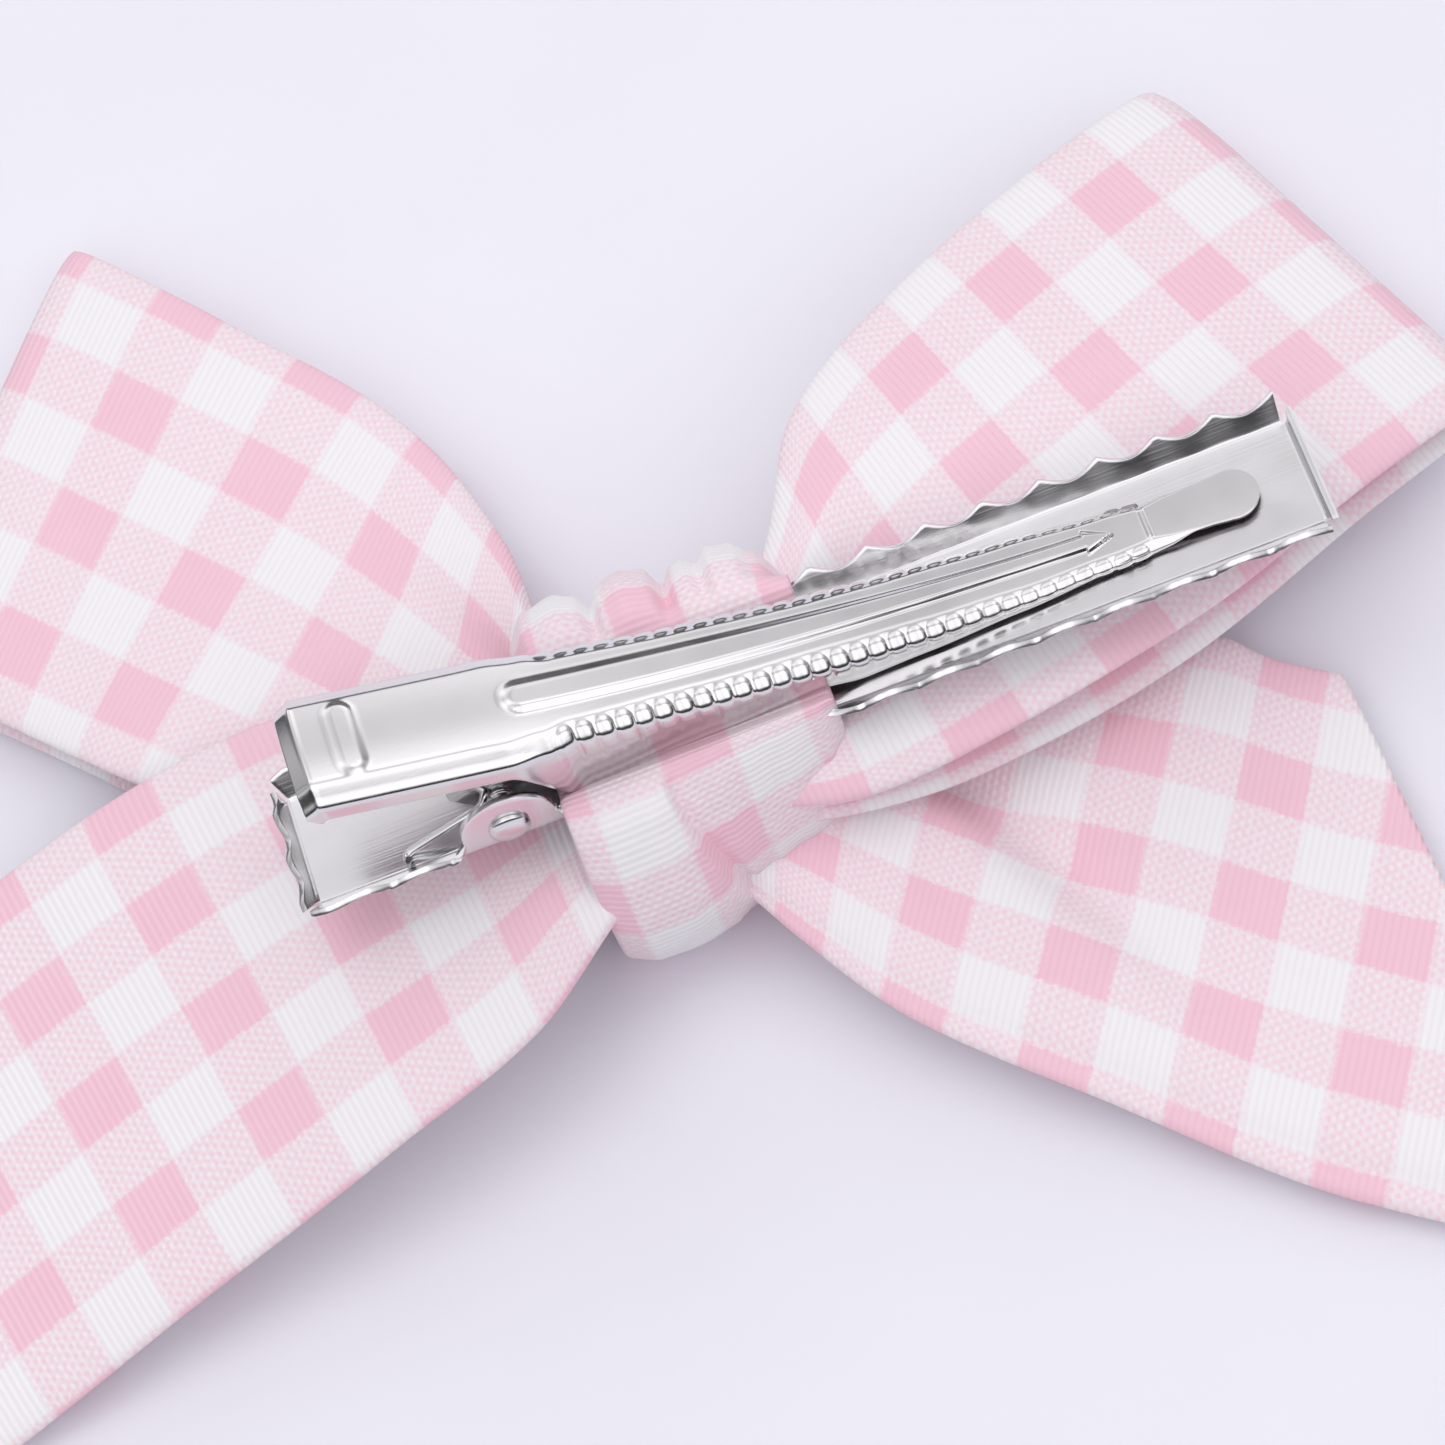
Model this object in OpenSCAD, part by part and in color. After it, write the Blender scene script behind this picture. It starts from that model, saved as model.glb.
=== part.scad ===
// Alligator hair clip with a gingham fabric bow.
// The frame: +X runs from the squeezed tails to the tip of the jaws, +Z up, the bow lies face down.
// The origin is under the middle of the whole clip, on the surface that it lies on.

/* [Clip] */
// Length of the lower jaw
jaw_length = 75; // [70:1:80]
// Width of the flat bottom of the lower jaw
jaw_width = 9; // [8.6:0.2:9.4]
// Thickness of the sheet steel
sheet = 0.45; // [0.4:0.05:0.5]
// Height of the lower jaw's side walls, along their slope
wall_height = 1.5; // [1.3:0.1:1.6]
// How far the lower jaw's side walls lean outwards
wall_lean = 30; // [20:5:35]
// Depth of the teeth waves in the side walls
tooth_depth = 0.55; // [0.3:0.05:0.7]
// Distance from one tooth to the next
tooth_pitch = 4.3; // [3.5:0.1:5]

/* [Hinge] */
// Distance of the hinge pin from the tail end
pin_x = 14.6; // [14:0.2:15]
// Height of the hinge pin over the lower jaw's floor
pin_z = 1.9; // [1.9:0.05:2.1]
// Radius of the hinge pin
pin_r = 0.75; // [0.6:0.05:0.8]
// Radius of the rivet heads
head_r = 1.55; // [1.3:0.05:1.7]
// Radius of the spring wire
wire_r = 0.27; // [0.2:0.01:0.3]
// Number of turns of the spring
spring_turns = 5; // [3:1:5]

/* [Lever] */
// Slope of the lever's straight tail when the clip is shut
tail_slope = 16.7; // [15:0.1:18]
// Bending radius of the lever's front arm
arm_radius = 190; // [180:1:200]
// Half the width of the lever's tail
tail_half = 4.5; // [4.2:0.05:4.5]

/* [Bow] */
// Width of the band round the knot, along the clip
band_width = 20; // [18:0.5:21]
// Height of the knot under the clip's floor
knot_height = 15.5; // [15.5:0.1:17]
// Thickness of the folded band
band_thick = 1.1; // [0.9:0.1:1.3]

/* [Hidden] */

// Where the clip's tail end and centre line lie in the frame
clip_x = -22.73;
clip_y = -5.48;

steel = [0.78, 0.78, 0.77];
pink = [0.97, 0.80, 0.86];
white = [0.96, 0.95, 0.96];

half_w = jaw_width / 2;
running = 0.05; // radial clearance of the pin in the lever
head_h = 0.55; // height of a rivet head
wave_steps = 6; // points to one tooth
bend_step = 15; // degrees to one facet of a bend

// Lower jaw
ear_r = 3.4;
ear_in = half_w; // inner face of an ear
ear_out = half_w + sheet;
tip_lip = 0.8;

// Lever, in the side view
lever_tail_x = 3.3;
lever_tip_x = 71.2;
arm_x = 20; // where the arm's curve starts
tip_top = 0.85; // top face of the tip over the jaw's floor
arm_end_slope = 1;
arm_flat_x = lever_tip_x + arm_radius * sin(arm_end_slope);
arm_low = tip_top - arm_radius * (1 - cos(arm_end_slope));
arm_step = 3;
flange_depth = 2;
grip_start = 40.5; // from here the flange runs just over the floor
tab_out = 2.3; // outer face of a hinge tab
tab_r = 1.7;
tab_half = 3.4;
tongue_r = 1.95;
tongue_x = 69.25;

// Spring
coil_r = pin_r + wire_r + 0.12;
coil_half = 1.45;
leg_out = 3.2; // the low leg splays out to here
wire_sides = 8;
turn_steps = 20;

// Knot
knot_x = 28.5; // centre of the band along the clip
knot_mid_z = -knot_height / 2 + 0.15;
knot_half_h = knot_height / 2 + 0.15;
knot_centre_y = 5.6; // centres of the knot's round sides
band_cut = 60; // where the band leaves the oval for the jaw, as an angle round its side
arc_steps = 24;
thread_thick = 0.5;
gap = 0.1; // room between one soft piece and the next
neck_half_h = knot_half_h - band_thick - thread_thick - 2 * gap;
neck_wide = 12;
neck_long = 2.4;
high_z0 = knot_mid_z + knot_height + gap;
high_z1 = knot_mid_z + knot_height + neck_half_h;
low_z0 = knot_mid_z + knot_height - neck_half_h;
low_z1 = knot_mid_z + knot_height - gap;

function lever_z(x) =
  x < arm_x
  ? lever_z(arm_x) + (arm_x - x) * tan(tail_slope)
  : arm_low + arm_radius - sqrt(arm_radius * arm_radius - pow(x - arm_flat_x, 2));

function tooth(x) = tooth_depth * (0.5 + 0.5 * cos(360 * x / tooth_pitch));

module on_clip() {
  translate([clip_x, clip_y, knot_height]) children();
}

module both_sides() {
  children();
  mirror([0, 1, 0]) children();
}

// Stands an outline drawn in X and Z up in the frame, from y0 to y1.
module upright(y0, y1) {
  translate([0, y1, 0]) rotate([90, 0, 0]) linear_extrude(y1 - y0) children();
}

// A folded-up wall seen along its fold, from its underside round the bend and up to its top edge.
// The wall stands at `at` and leans outwards.
function folded_wall(at, height) = concat(
  [for (a = [-90:bend_step:-wall_lean]) [at + sheet * cos(a), sheet * sin(a)]],
  [
    [at + height * sin(wall_lean) + sheet * cos(wall_lean),
     height * cos(wall_lean) - sheet * sin(wall_lean)],
    [at + height * sin(wall_lean), height * cos(wall_lean)],
    [at, 0]
  ]
);

// Everything over the teeth line, from the first place to the last. The line dips once a pitch.
module over_teeth(from, to, height) {
  polygon(concat(
    [[from, 9]],
    [for (x = [from:tooth_pitch / wave_steps:to]) [x, (height + tooth_depth / 2 - tooth(x)) * cos(wall_lean)]],
    [[to + 1, height], [to + 1, 9]]
  ));
}

module floor_and_side_walls() {
  high = folded_wall(half_w, wall_height + tooth_depth / 2);
  n = len(high);
  difference() {
    along_clip(0, jaw_length)
      polygon(concat(high, [for (i = [n - 1:-1:0]) [-high[i][0], high[i][1]]]));
    upright(-9, 9) over_teeth(-0.5, jaw_length, wall_height);
    upright(-9, 9) translate([pin_x - ear_r - 0.3, 0]) square([2 * ear_r + 0.6, 5]);
  }
}

module tail_wall() {
  height = 0.7 * wall_height;
  difference() {
    mirror([1, 0, 0]) upright(-half_w, half_w)
      polygon(concat([[-0.5, 0], [-0.5, -sheet]], folded_wall(0, height + tooth_depth / 2)));
    along_clip(-3, 0) over_teeth(-half_w - 0.5, half_w, height);
  }
}

module ear() {
  upright(ear_in, ear_out) {
    translate([pin_x - ear_r, -sheet / 2]) square([2 * ear_r, pin_z + sheet / 2]);
    translate([pin_x, pin_z]) intersection() {
      circle(r = ear_r, $fn = 64);
      translate([-ear_r, -0.1]) square([2 * ear_r, ear_r + 1]);
    }
  }
}

module lower_jaw() {
  color(steel) on_clip() difference() {
    union() {
      floor_and_side_walls();
      tail_wall();
      both_sides() ear();
      translate([jaw_length - sheet, -half_w, -sheet]) cube([sheet, jaw_width, sheet + tip_lip]);
    }
    translate([pin_x, 0, pin_z]) rotate([90, 0, 0])
      cylinder(r = pin_r, h = jaw_width + 4, center = true, $fn = 48);
  }
}

// The lever's side view, from its top face down to the line that bottom gives, between x0 and x1.
module lever_side(x0, x1, drop, bottom) {
  xs = concat([x0], [for (x = [x0 + arm_step:arm_step:x1 - 0.5]) x], [x1]);
  polygon(concat([for (x = xs) [x, lever_z(x) - drop]], [[x1, bottom], [x0, bottom]]));
}

module lever_plan(inset) {
  polygon([
    for (s = [-1, 1])
      each s < 0
        ? [[lever_tail_x + inset, -tail_half + inset], [18.6, -tail_half + inset],
           [19.8, -3.9 + inset], [22, -3.7 + inset], [61, -2.3 + inset], [66, -1.7 + inset],
           [tongue_x, -1.7 + inset]]
        : [[tongue_x, 1.7 - inset], [66, 1.7 - inset], [61, 2.3 - inset], [22, 3.7 - inset],
           [19.8, 3.9 - inset], [18.6, tail_half - inset], [lever_tail_x + inset, tail_half - inset]]
  ]);
  translate([tongue_x, 0]) circle(r = tongue_r - inset, $fn = 64);
}

// Everything under the lever's top face that its skirt may fill.
module lever_skirt() {
  upright(-8, 8) {
    polygon([
      [lever_tail_x, lever_z(lever_tail_x)], [arm_x, lever_z(arm_x)],
      [arm_x, lever_z(arm_x) - flange_depth],
      [lever_tail_x, lever_z(lever_tail_x) - flange_depth]
    ]);
    lever_side(19.8, grip_start, 0, 1.9);
    lever_side(grip_start, lever_tip_x, 0, tip_top - sheet);
  }
}

// Each tab hangs from the lever's top plate.
module hinge_tab() {
  intersection() {
    upright(tab_out - sheet, tab_out) translate([pin_x, pin_z]) {
      circle(r = tab_r, $fn = 48);
      polygon([
        [-tab_half, 1.4], [-1.5, -0.6], [1.5, -0.6], [tab_half, 0.8], [5.6, 0.8], [5.6, 9], [-tab_half, 9]
      ]);
      translate([-tab_half, 8]) square([2 * tab_half, 3]);
    }
    upright(-8, 8) lever_side(lever_tail_x, arm_x + 3, sheet / 2, -1);
  }
}

module upper_lever() {
  color(steel) on_clip() difference() {
    union() {
      difference() {
        intersection() {
          lever_skirt();
          translate([0, 0, -2]) linear_extrude(20) lever_plan(0);
        }
        intersection() {
          upright(-8, 8) lever_side(lever_tail_x - 1, lever_tip_x + 1, sheet, -1);
          translate([0, 0, -2]) linear_extrude(20) lever_plan(sheet);
        }
      }
      both_sides() hinge_tab();
    }
    translate([pin_x, 0, pin_z]) rotate([90, 0, 0])
      cylinder(r = pin_r + running, h = 12, center = true, $fn = 48);
  }
}

module rivet_head() {
  cap_r = (head_r * head_r + head_h * head_h) / (2 * head_h);
  rotate([-90, 0, 0]) rotate_extrude($fn = 64) intersection() {
    translate([0, head_h - cap_r]) circle(r = cap_r, $fn = 96);
    square([head_r, head_h]);
  }
}

module hinge_pin() {
  color(steel) on_clip() translate([pin_x, 0, pin_z]) {
    rotate([90, 0, 0]) cylinder(r = pin_r, h = 2 * ear_out + 0.02, center = true, $fn = 48);
    both_sides() translate([0, ear_out, 0]) rivet_head();
  }
}

// A round wire swept along a list of points; the rings turn with the path.
module wire(points, r) {
  n = len(points);
  function along(i) = points[min(i + 1, n - 1)] - points[max(i - 1, 0)];
  rings = [
    for (i = [0:n - 1])
      let (
        t = along(i) / norm(along(i)),
        side = cross([0, 1, 0], t) / norm(cross([0, 1, 0], t)),
        up = cross(t, side)
      )
      for (k = [0:wire_sides - 1])
        points[i] + r * (cos(360 * k / wire_sides) * side + sin(360 * k / wire_sides) * up)
  ];
  faces = concat(
    [[for (k = [0:wire_sides - 1]) k]],
    [[for (k = [wire_sides - 1:-1:0]) (n - 1) * wire_sides + k]],
    [
      for (i = [0:n - 2], k = [0:wire_sides - 1])
        let (a = i * wire_sides + k, b = i * wire_sides + (k + 1) % wire_sides)
        each [[a, a + wire_sides, b], [b, a + wire_sides, b + wire_sides]]
    ]
  );
  polyhedron(rings, faces);
}

// The spring's two legs leave the coil towards the tail: the low one presses on the lower
// jaw's floor and the high one on the underside of the lever.
module torsion_spring() {
  total = 360 * spring_turns;
  coil = [
    for (i = [0:turn_steps * spring_turns])
      let (a = 90 + i * 360 / turn_steps)
      [-coil_r * cos(a), -coil_half + 2 * coil_half * (a - 90) / total, coil_r * sin(a)]
  ];
  low_leg = [[-7.6, -leg_out, wire_r + 0.05 - pin_z], [-2, -coil_half, 0.72]];
  high_leg = [[-0.6, coil_half, coil_r + 0.05], [-7.2, coil_half, 9.6]];
  color(steel) on_clip() translate([pin_x, 0, pin_z])
    wire(concat(low_leg, coil, high_leg), wire_r);
}

// Knot: the section is drawn in Y and Z and runs along X.
module along_clip(x0, x1) {
  translate([x0, 0, 0]) rotate([90, 0, 90]) linear_extrude(x1 - x0) children();
}

// A closed oval with two round sides, from the top of its right side down and round.
function oval(r, cut) = concat(
  [for (i = [0:arc_steps]) knot_point(1, r, cut - i * (90 + cut) / arc_steps)],
  [for (i = [0:arc_steps]) knot_point(-1, r, -90 + i * (90 + cut) / arc_steps)]
);

function knot_point(side, r, a) = [side * (knot_centre_y + r * cos(a)), knot_mid_z + r * sin(a)];

// Outside, the band climbs from the oval over the jaw's walls and dips into its tray.
module band_outer() {
  polygon(concat(
    oval(knot_half_h, band_cut),
    [[-6.7, 2.5], [-4.7, 2.5], [-3.6, 0.95], [3.6, 0.95], [4.7, 2.5], [6.7, 2.5]]
  ));
}

// Inside, it leaves room for the thread and for the jaw.
module band_inner() {
  r = knot_half_h - band_thick;
  top = knot_mid_z + r;
  polygon(concat(
    oval(r, 90),
    [[-half_w - 0.7, top], [-half_w - 1.4, 1.9], [-half_w - 0.35, 1.9], [-half_w + 0.4, 0.02],
     [half_w - 0.4, 0.02], [half_w + 0.35, 1.9], [half_w + 1.4, 1.9], [half_w + 0.7, top]]
  ));
}

module knot_band() {
  color(pink) on_clip()
    along_clip(knot_x - band_width / 2, knot_x + band_width / 2) difference() {
      band_outer();
      band_inner();
    }
}

module thread_turn(r) {
  polygon(oval(r, 90));
}

module gather_thread() {
  r = knot_half_h - band_thick - gap;
  color(white) on_clip() difference() {
    for (i = [-2:2])
      along_clip(knot_x - 0.41 + 0.8 * i, knot_x + 0.41 + 0.8 * i)
        thread_turn(i % 2 == 0 ? r : r - 0.15);
    along_clip(knot_x - 4, knot_x + 4) thread_turn(r - thread_thick);
  }
}

// One station of a soft lobe: a rod lying across the lobe, wide across and z0 to z1 high.
module station(at, turn, wide, z0, z1) {
  r = (z1 - z0) / 2;
  translate([at[0], at[1], z0 + r]) rotate([0, 0, turn])
    for (s = [-1, 1]) translate([0, s * (wide / 2 - r), 0]) sphere(r = r, $fn = 24);
}

// The flat inner end of a lobe, inside the band.
module neck(x, z0, z1) {
  translate([x, -neck_wide / 2, z0]) cube([neck_long, neck_wide, z1 - z0]);
}

// The lobes lie on the surface, so their heights are the frame's own.
module on_surface() {
  translate([clip_x, clip_y, 0]) children();
}

// Spans a lobe from its neck through its stations. Each one is [at, turn, wide, z0, z1].
module lobe(neck_x, z0, z1, stations) {
  color(pink) on_surface() {
    hull() {
      neck(neck_x, z0, z1);
      placed(stations[0]);
    }
    for (i = [1:len(stations) - 1]) hull() {
      placed(stations[i - 1]);
      placed(stations[i]);
    }
  }
}

module placed(s) {
  station(s[0], s[1], s[2], s[3], s[4]);
}

module right_loop() {
  lobe(knot_x + gap, high_z0, high_z1, [
    [[40.6, 0.6], 3, 20.6, 7.8, 13.2],
    [[46, 5.6], 8, 31, 6.4, 13.6],
    [[60.5, 13], 14, 37, 5.7, 13],
    [[82, 23.4], 21, 38, 3.6, 8.6]
  ]);
}

module left_tail() {
  lobe(knot_x - gap - neck_long, high_z0, high_z1, [
    [[18, -0.4], 3, 20.6, 8.4, 13.4],
    [[10, -2], 8, 31, 8, 12.6],
    [[-7, -3.4], 11, 36.5, 7.2, 10.4],
    [[-37.7, -10], -16, 44.6, 0, 3]
  ]);
}

module left_loop() {
  lobe(knot_x - gap - neck_long, low_z0, low_z1, [
    [[15.9, 0.2], -3, 19.6, 2.3, 7.1],
    [[10.6, 14.5], -26, 26, 0.6, 7],
    [[2.5, 28.5], -46, 37, 0.2, 6.7],
    [[-14.6, 48.8], -31, 39, 0, 5.6]
  ]);
}

module right_tail() {
  lobe(knot_x + gap, low_z0, low_z1, [
    [[41.2, -1], -2, 19.6, 2.2, 7],
    [[45.6, -9.9], -24, 27, 0.5, 5.8],
    [[55, -17.4], -34, 34, 0.1, 4.6],
    [[72.6, -32], 4, 46, 0, 3]
  ]);
}

lower_jaw();
upper_lever();
hinge_pin();
torsion_spring();
knot_band();
gather_thread();
right_loop();
left_tail();
left_loop();
right_tail();
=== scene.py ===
"""Looks for a sprung alligator clip with a gingham bow: bent sheet steel, wire and soft cloth."""

from math import cos, exp, pi, radians, sin, sqrt

import bmesh
import bpy
from mathutils import Matrix, Vector, noise


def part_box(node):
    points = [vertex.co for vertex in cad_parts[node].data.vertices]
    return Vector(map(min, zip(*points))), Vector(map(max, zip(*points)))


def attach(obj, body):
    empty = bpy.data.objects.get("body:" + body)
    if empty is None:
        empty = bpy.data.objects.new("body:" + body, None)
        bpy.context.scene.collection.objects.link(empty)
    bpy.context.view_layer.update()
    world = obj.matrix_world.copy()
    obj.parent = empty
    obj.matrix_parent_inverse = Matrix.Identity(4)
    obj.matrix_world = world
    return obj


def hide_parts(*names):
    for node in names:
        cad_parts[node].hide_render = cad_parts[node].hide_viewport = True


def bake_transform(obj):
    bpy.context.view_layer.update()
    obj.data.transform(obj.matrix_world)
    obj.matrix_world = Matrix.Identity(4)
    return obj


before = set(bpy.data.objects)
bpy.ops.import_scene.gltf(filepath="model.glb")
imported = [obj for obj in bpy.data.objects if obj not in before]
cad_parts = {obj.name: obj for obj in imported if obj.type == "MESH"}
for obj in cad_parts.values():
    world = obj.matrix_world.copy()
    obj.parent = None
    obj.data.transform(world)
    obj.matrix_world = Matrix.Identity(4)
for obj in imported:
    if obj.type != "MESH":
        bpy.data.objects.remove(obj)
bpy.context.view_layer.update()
MM = 0.001

# The clip's own axes start at its tail end, on the lower jaw's floor. Sizes below are in mm.
PIN = Vector((14.6, 0.0, 1.9))
pin_low, pin_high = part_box("hinge_pin")
CLIP = (pin_low + pin_high) / 2 - PIN * MM

SHEET = 0.45
FLOOR_HALF = 4.5
JAW_LONG = 75.0
WALL_HIGH = 1.55
WALL_LEAN = radians(39)
TOOTH_PITCH = 4.3
TOOTH_DEEP = 0.60
TOOTH_FROM = 1.4
EAR_R = 3.4
EAR_FOOT = 0.9
FOLD_R = 0.35
FLOOR_DISH = 0.006
RIPPLE_LONG = 3.0
TAIL_LIP_LEAN, TAIL_LIP_HIGH = radians(28), 1.1
TIP_LIP_LEAN, TIP_LIP_HIGH = radians(5), 0.85
LIP_SPREAD = 0.20
TAB_OUT = 2.3
TAB_R = 1.75
WIRE_R = 0.29
COIL_R, COIL_HALF, COIL_TURNS = 1.14, 1.42, 5
TURN_STEPS = 28
STRIP_HALF = 19


def on_clip(p):
    """A point in the clip's own axes, in the frame."""
    return CLIP + Vector(p) * MM


def on_surface(p):
    """A point with the clip's x and y, and its height over the surface."""
    return Vector((CLIP.x + p[0] * MM, CLIP.y + p[1] * MM, p[2] * MM))


def ease(t):
    t = min(1.0, max(0.0, t))
    return t * t * (3 - 2 * t)


def between(value, low, high):
    """Rises smoothly from 0 at low to 1 at high."""
    return ease((value - low) / (high - low))


# ---------------------------------------------------------------- materials


def new_material(name):
    material = bpy.data.materials.new(name)
    material.use_nodes = True
    return material, material.node_tree.nodes, material.node_tree.links


def wire_up(links, pairs):
    for source, target in pairs:
        links.new(source, target)


def add_noise(nodes, links, vector, scale, detail=3.0):
    noise = nodes.new("ShaderNodeTexNoise")
    noise.inputs["Scale"].default_value = scale
    noise.inputs["Detail"].default_value = detail
    links.new(vector, noise.inputs["Vector"])
    return noise.outputs["Fac"]


def add_math(nodes, links, operation, a, b=None, clamp=False):
    node = nodes.new("ShaderNodeMath")
    node.operation = operation
    node.use_clamp = clamp
    for socket, value in zip(node.inputs, (a, b)):
        if value is None:
            continue
        if isinstance(value, (int, float)):
            socket.default_value = value
        else:
            links.new(value, socket)
    return node.outputs[0]


def add_ramp(nodes, links, fac, stops):
    ramp = nodes.new("ShaderNodeValToRGB")
    while len(ramp.color_ramp.elements) < len(stops):
        ramp.color_ramp.elements.new(0.5)
    for element, (place, color) in zip(ramp.color_ramp.elements, stops):
        element.position = place
        element.color = color if len(color) == 4 else (*color, 1.0)
    links.new(fac, ramp.inputs["Fac"])
    return ramp.outputs["Color"]


def grey(v):
    return (v, v, v, 1.0)


def plated_steel(name, rough, stroke, tint=(0.80, 0.79, 0.795)):
    """Nickel plate on rolled sheet. Rolling marks run along X and show as faint strokes."""
    material, nodes, links = new_material(name)
    shader = nodes["Principled BSDF"]
    shader.inputs["Metallic"].default_value = 1.0
    coord = nodes.new("ShaderNodeTexCoord")
    stretch = nodes.new("ShaderNodeMapping")
    stretch.inputs["Scale"].default_value = (180, 5200, 5200)
    links.new(coord.outputs["Object"], stretch.inputs["Vector"])
    marks = add_noise(nodes, links, stretch.outputs["Vector"], 1.0, 2.0)
    cloud = add_noise(nodes, links, coord.outputs["Object"], 260.0, 3.0)
    roughness = add_ramp(nodes, links, cloud, [(0.3, grey(rough * 0.8)), (0.7, grey(rough * 1.3))])
    color = add_ramp(nodes, links, cloud, [
        (0.3, tuple(c * 0.96 for c in tint)), (0.7, tint)])
    bump = nodes.new("ShaderNodeBump")
    bump.inputs["Strength"].default_value = stroke
    bump.inputs["Distance"].default_value = 0.00002
    wire_up(links, [
        (roughness, shader.inputs["Roughness"]),
        (color, shader.inputs["Base Color"]),
        (marks, bump.inputs["Height"]),
        (bump.outputs["Normal"], shader.inputs["Normal"]),
    ])
    return material


def check_band(nodes, links, place, pitch, offset):
    """1 on the pink stripes across a distance in metres and 0 on the white ones."""
    turns = add_math(nodes, links, "MULTIPLY_ADD", place, 1.0 / pitch)
    turns.node.inputs[2].default_value = offset
    fraction = add_math(nodes, links, "FRACT", turns)
    centred = add_math(nodes, links, "SUBTRACT", fraction, 0.5)
    away = add_math(nodes, links, "ABSOLUTE", centred)
    edge = add_math(nodes, links, "SUBTRACT", away, 0.25)
    sharp = add_math(nodes, links, "MULTIPLY", edge, 22.0)
    return add_math(nodes, links, "ADD", sharp, 0.5, clamp=True)


def unsteady(nodes, links, uv, place):
    """A distance over the cloth with the small wander of a printed edge."""
    wobble = add_noise(nodes, links, uv.outputs["UV"], 2600.0, 1.0)
    shift = add_math(nodes, links, "MULTIPLY", add_math(nodes, links, "SUBTRACT", wobble, 0.5), 0.0007)
    return add_math(nodes, links, "ADD", place, shift)


def basket_print(nodes, links, uv, split):
    """Single stripes are printed as a fine basket of dots, broken up by the stitches."""
    waves = [add_math(nodes, links, "SINE", add_math(nodes, links, "MULTIPLY", place, 2 * pi / size))
             for place, size in ((split.outputs["X"], 0.00078), (split.outputs["Y"], 0.00092))]
    basket = add_math(nodes, links, "MULTIPLY", *waves)
    speck = add_noise(nodes, links, uv.outputs["UV"], 2900.0, 2.0)
    mixed = add_math(nodes, links, "MULTIPLY_ADD", basket, 0.28)
    links.new(speck, mixed.node.inputs[2])
    return add_ramp(nodes, links, mixed, [(0.28, grey(0.22)), (0.72, grey(0.62))])


def print_share(nodes, links, uv, split, across, along):
    """How much pink the print puts at each place, from 0 to 1."""
    u = unsteady(nodes, links, uv, split.outputs["X"])
    v = unsteady(nodes, links, uv, split.outputs["Y"])
    rows = check_band(nodes, links, u, across[0] * MM, across[1])
    columns = check_band(nodes, links, v, along[0] * MM, along[1])
    both = add_math(nodes, links, "MULTIPLY", rows, columns)
    either = add_math(nodes, links, "MAXIMUM", rows, columns)
    half = add_math(nodes, links, "MULTIPLY", either, basket_print(nodes, links, uv, split))
    full = add_math(nodes, links, "MAXIMUM", both, half)
    blotch = add_noise(nodes, links, uv.outputs["UV"], 140.0, 3.0)
    fade = add_ramp(nodes, links, blotch, [(0.3, grey(0.92)), (0.7, grey(1.0))])
    return add_math(nodes, links, "MULTIPLY", full, fade)


def knit_rib(nodes, links, split):
    """Ribs run across the strip. Returns their wave and painted shade in their grooves, a slightly deeper
    pink.
    """
    phase = add_math(nodes, links, "MULTIPLY", split.outputs["Y"], 2 * pi / 0.00055)
    rib = add_math(nodes, links, "SINE", phase)
    level = add_math(nodes, links, "MULTIPLY_ADD", rib, 0.5)
    level.node.inputs[2].default_value = 0.5
    return rib, add_ramp(nodes, links, level, [(0.0, (0.975, 0.935, 0.955)), (0.55, grey(1.0))])


def gingham(name, across, along):
    """Ribbed knit printed with checks. The UV map is in metres: U across the strip, V along it.

    across and along are each (the print's repeat in mm, its phase)."""
    material, nodes, links = new_material(name)
    shader = nodes["Principled BSDF"]
    uv = nodes.new("ShaderNodeUVMap")
    uv.uv_map = "cloth"
    split = nodes.new("ShaderNodeSeparateXYZ")
    links.new(uv.outputs["UV"], split.inputs["Vector"])
    mix = nodes.new("ShaderNodeMix")
    mix.data_type = "RGBA"
    mix.inputs["A"].default_value = (0.93, 0.922, 0.935, 1.0)
    mix.inputs["B"].default_value = (0.94, 0.60, 0.70, 1.0)
    # The print is multiplied by the groove colour: painted shade between the ribs.
    groove_shaded_print = nodes.new("ShaderNodeMix")
    groove_shaded_print.data_type = "RGBA"
    groove_shaded_print.blend_type = "MULTIPLY"
    groove_shaded_print.inputs["Factor"].default_value = 1.0
    rib, groove = knit_rib(nodes, links, split)
    fuzz = add_noise(nodes, links, uv.outputs["UV"], 5200.0, 2.0)
    height = add_math(nodes, links, "MULTIPLY_ADD", fuzz, 0.8)
    bump = nodes.new("ShaderNodeBump")
    bump.inputs["Strength"].default_value = 0.4
    bump.inputs["Distance"].default_value = 0.00006
    wire_up(links, [
        (print_share(nodes, links, uv, split, across, along), mix.inputs["Factor"]),
        (mix.outputs["Result"], groove_shaded_print.inputs["A"]),
        (groove, groove_shaded_print.inputs["B"]),
        (groove_shaded_print.outputs["Result"], shader.inputs["Base Color"]),
        (rib, height.node.inputs[2]),
        (height, bump.inputs["Height"]),
        (bump.outputs["Normal"], shader.inputs["Normal"]),
    ])
    shader.inputs["Roughness"].default_value = 0.85
    shader.inputs["Sheen Weight"].default_value = 0.25
    shader.inputs["Sheen Roughness"].default_value = 0.5
    shader.inputs["Specular IOR Level"].default_value = 0.2
    return material


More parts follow.
